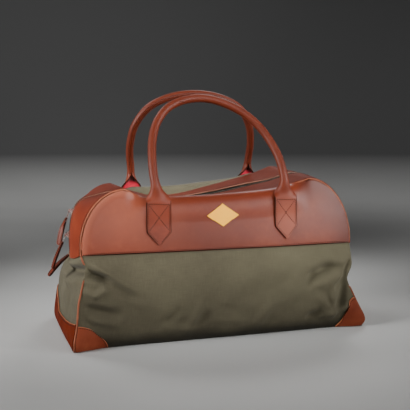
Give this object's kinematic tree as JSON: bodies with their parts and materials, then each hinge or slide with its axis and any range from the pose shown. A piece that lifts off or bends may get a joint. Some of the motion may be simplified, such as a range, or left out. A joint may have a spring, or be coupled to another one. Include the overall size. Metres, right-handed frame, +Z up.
{
  "type": "canvas and leather travel bag",
  "caption": "Soft weekend bag in olive canvas with a leather yoke, corner patches and zip strips, a long zip with hanging leather pulls, and rolled leather handles.",
  "frame": {"origin": "on the surface that the bag stands on, under the middle of its overall box", "axes": "+X along the bag to its right as seen from the front, +Y from the front to the back, +Z up; the zip pulls hang at the -X end and the label is on the -Y side"},
  "size_m": [0.568, 0.2523, 0.4312],
  "materials": {
    "canvas": "matt woven canvas",
    "leather": "smooth cognac leather, soft sheen",
    "trim": "pale tan leather piping",
    "label": "natural undyed leather",
    "lining": "red lining cloth",
    "tape": "dark woven zip tape",
    "metal": "polished bright metal"
  },
  "bodies": {
    "bag": {"front_canvas": "canvas", "front_yoke": "leather", "back_canvas": "canvas", "end_canvas_left": "canvas", "end_canvas_right": "canvas", "corner_end_left": "leather", "corner_end_right": "leather", "zip_strip_front": "leather", "zip_strip_back": "leather", "zip_tape": "tape", "zip_teeth": "metal", "base_panel": "canvas", "piping_front": "trim", "piping_back": "trim", "corner_front_left": "leather", "corner_front_right": "leather", "corner_back_left": "leather", "corner_back_right": "leather", "label": "label", "handle_front": "leather", "handle_back": "leather", "lining_front_left": "lining", "lining_front_right": "lining", "lining_back_left": "lining", "lining_back_right": "lining", "slider_upper": "metal", "slider_lower": "metal", "zip_end_left": "leather", "zip_end_right": "leather"},
    "pull_upper": {"puller_upper": "metal", "pull_tab_upper": "leather"},
    "pull_lower": {"puller_lower": "metal", "pull_tab_lower": "leather"}
  },
  "joints": [
    {"name": "pull_upper_swing", "type": "hinge", "parent": "bag", "child": "pull_upper", "pos_m": [-0.24709, 0.00013, 0.21673], "axis": [0, 1, 0], "range_deg": [0, 150]},
    {"name": "pull_lower_swing", "type": "hinge", "parent": "bag", "child": "pull_lower", "pos_m": [-0.25443, 0.00005, 0.17558], "axis": [0, 1, 0], "range_deg": [0, 150]}
  ]
}
